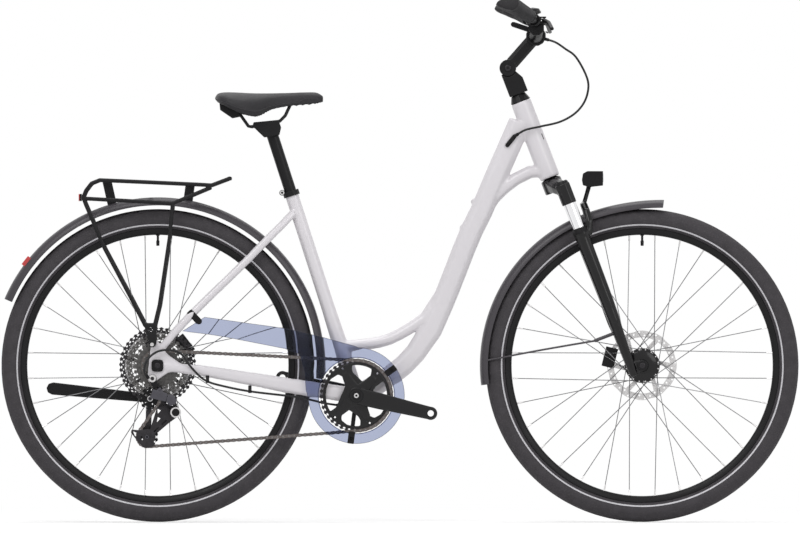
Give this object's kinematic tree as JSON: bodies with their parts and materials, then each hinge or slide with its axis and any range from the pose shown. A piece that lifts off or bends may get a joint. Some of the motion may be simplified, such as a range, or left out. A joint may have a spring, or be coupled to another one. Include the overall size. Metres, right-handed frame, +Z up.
{
  "type": "step-through bicycle",
  "caption": "Step-through city bicycle with disc brakes, derailleur gearing, suspension fork, mudguards, rack, chain guard and lights.",
  "frame": {"origin": "on the ground, midway between the two wheel axles, in the plane of the wheels", "axes": "+X towards the front wheel, +Y to the left side (away from the chain), +Z up"},
  "size_m": [1.8294, 0.6624, 1.2],
  "materials": {
    "frame_paint": "gloss",
    "black_gloss": "gloss",
    "black_satin": "satin, anodised black",
    "black_plastic": "matte",
    "rack_paint": "satin",
    "guard_plastic": "satin",
    "tyre": "matte",
    "grip_rubber": "matte",
    "chrome": "polished",
    "bright_steel": "brushed",
    "dark_steel": "satin",
    "chain_steel": "oiled",
    "smoke_plastic": "translucent smoke",
    "red_lens": "translucent red",
    "saddle_cover": "matte synthetic leather"
  },
  "bodies": {
    "frame_body": {"frame": "frame_paint", "headset_upper": "black_satin", "headset_lower": "bright_steel", "bottom_bracket_bearings": "dark_steel", "axle_rear": "black_satin", "derailleur_body": "black_plastic", "caliper_rear": "black_satin", "mudguard_rear": "guard_plastic", "rack": "rack_paint", "rear_light_housing": "black_plastic", "rear_light_lens": "red_lens", "rear_reflector": "red_lens", "chain_guard": "smoke_plastic", "chain_guard_bracket": "black_plastic", "seat_collar": "black_satin", "chain": "chain_steel", "shift_cable_upper": "black_plastic", "shift_cable_lower": "black_plastic"},
    "steerer": {"fork_crown": "black_gloss", "stanchion_right": "chrome", "stanchion_left": "chrome", "stem_base": "black_satin"},
    "fork_legs": {"fork_lowers": "black_gloss", "axle_front": "black_satin", "caliper_front": "black_satin", "mudguard_front": "guard_plastic"},
    "front_wheel": {"tyre_front": "tyre", "rim_front": "black_satin", "hub_dynamo_front_with_spokes": "black_gloss", "rotor_front": "bright_steel"},
    "lamp": {"headlight": "black_plastic"},
    "cockpit": {"stem_arm": "black_satin", "handlebar": "black_satin", "grip_right": "grip_rubber", "grip_left": "grip_rubber", "brake_lever_body_right": "black_plastic", "brake_lever_body_left": "black_plastic", "shifter": "black_plastic", "bell": "black_gloss"},
    "right_lever": {"brake_lever_right": "dark_steel"},
    "left_lever": {"brake_lever_left": "dark_steel"},
    "paddle": {"shifter_paddle": "black_plastic"},
    "rear_wheel": {"tyre_rear": "tyre", "rim_rear": "black_satin", "hub_rear_with_spokes": "black_gloss", "rotor_rear": "bright_steel"},
    "cog_stack": {"cassette": "dark_steel"},
    "cranks": {"crank_right": "black_gloss", "crank_left": "black_gloss"},
    "changer_link": {"derailleur_link": "dark_steel"},
    "changer_knuckle": {"derailleur_knuckle": "black_plastic"},
    "changer_cage": {"derailleur_cage": "dark_steel"},
    "guide_wheel": {"guide_pulley": "black_plastic"},
    "tension_wheel": {"tension_pulley": "black_plastic"},
    "saddle_and_post": {"seat_post": "black_satin", "saddle_clamp": "black_plastic", "saddle_rails": "black_satin", "saddle_cover": "saddle_cover"},
    "stand_leg": {"kickstand": "black_satin"}
  },
  "joints": [
    {"name": "steering", "type": "hinge", "parent": "frame_body", "child": "steerer", "pos_m": [0.5161, 0, 0.3438], "axis": [-0.3593, 0, 0.9332], "range_deg": [-50, 50], "deforming": ["shift_cable_upper"]},
    {"name": "fork_travel", "type": "slide", "parent": "steerer", "child": "fork_legs", "axis": [-0.3593, 0, 0.9332], "range_m": [0, 0.055], "stiffness_N_per_m": 6000, "springref_m": -0.008},
    {"name": "front_wheel_spin", "type": "hinge", "parent": "fork_legs", "child": "front_wheel", "pos_m": [0.5557, 0, 0.359], "axis": [0, 1, 0], "continuous": true},
    {"name": "headlight_tilt", "type": "hinge", "parent": "fork_legs", "child": "lamp", "pos_m": [0.43128, 0, 0.76169], "axis": [0, 1, 0], "range_deg": [-12, 12]},
    {"name": "stem_angle", "type": "hinge", "parent": "steerer", "child": "cockpit", "pos_m": [0.24741, 0, 1.04161], "axis": [0, 1, 0], "range_deg": [-10, 22], "deforming": ["shift_cable_upper"]},
    {"name": "brake_lever_right_pull", "type": "hinge", "parent": "cockpit", "child": "right_lever", "pos_m": [0.3293, -0.161, 1.1497], "axis": [0, 0, -1], "range_deg": [0, 18], "stiffness_Nm_per_rad": 1, "springref_deg": -8.59},
    {"name": "brake_lever_left_pull", "type": "hinge", "parent": "cockpit", "child": "left_lever", "pos_m": [0.3293, 0.161, 1.1497], "axis": [0, 0, 1], "range_deg": [0, 18], "stiffness_Nm_per_rad": 1, "springref_deg": -8.59},
    {"name": "shift_paddle_push", "type": "hinge", "parent": "cockpit", "child": "paddle", "pos_m": [0.30412, -0.142, 1.12503], "axis": [0, -1, 0], "range_deg": [0, 20], "stiffness_Nm_per_rad": 0.2, "springref_deg": -11.46},
    {"name": "rear_wheel_spin", "type": "hinge", "parent": "frame_body", "child": "rear_wheel", "pos_m": [-0.5557, 0, 0.359], "axis": [0, 1, 0], "continuous": true},
    {"name": "crank_spin", "type": "hinge", "parent": "frame_body", "child": "cranks", "pos_m": [-0.0999, 0, 0.2903], "axis": [0, 1, 0], "continuous": true, "deforming": ["chain"]},
    {"name": "cassette_spin", "type": "hinge", "parent": "frame_body", "child": "cog_stack", "pos_m": [-0.5557, 0, 0.359], "axis": [0, 1, 0], "continuous": true},
    {"name": "derailleur_swing", "type": "hinge", "parent": "frame_body", "child": "changer_link", "pos_m": [-0.5524, -0.0808, 0.3036], "axis": [0.7239, 0, 0.6899], "range_deg": [-13, 28], "deforming": ["chain", "shift_cable_lower"]},
    {"name": "derailleur_counter_swing", "type": "hinge", "parent": "changer_link", "child": "changer_knuckle", "pos_m": [-0.524, -0.0808, 0.2738], "axis": [0.7239, 0, 0.6899], "range_deg": [-29, 14]},
    {"name": "cage_swing", "type": "hinge", "parent": "changer_knuckle", "child": "changer_cage", "pos_m": [-0.514, 0, 0.2518], "axis": [0, -1, 0], "range_deg": [-19, 41]},
    {"name": "guide_pulley_spin", "type": "hinge", "parent": "changer_cage", "child": "guide_wheel", "pos_m": [-0.5727, 0, 0.2832], "axis": [0, 1, 0], "continuous": true},
    {"name": "tension_pulley_spin", "type": "hinge", "parent": "changer_cage", "child": "tension_wheel", "pos_m": [-0.5798, 0, 0.19549], "axis": [0, 1, 0], "continuous": true},
    {"name": "saddle_height", "type": "slide", "parent": "frame_body", "child": "saddle_and_post", "axis": [-0.3074, 0, 0.9516], "range_m": [-0.1, 0.03]},
    {"name": "kickstand_drop", "type": "hinge", "parent": "frame_body", "child": "stand_leg", "pos_m": [-0.544, 0.092, 0.28], "axis": [0, -1, 0], "range_deg": [0, 75]}
  ],
  "couplings": [
    {"joint": "cassette_spin", "follows": "crank_spin", "ratio": 2.3529},
    {"joint": "guide_pulley_spin", "follows": "crank_spin", "ratio": -3.6364},
    {"joint": "tension_pulley_spin", "follows": "crank_spin", "ratio": 3.6364},
    {"joint": "derailleur_counter_swing", "follows": "derailleur_swing", "ratio": -1},
    {"joint": "cage_swing", "follows": "derailleur_swing", "ratio": 1.45}
  ]
}
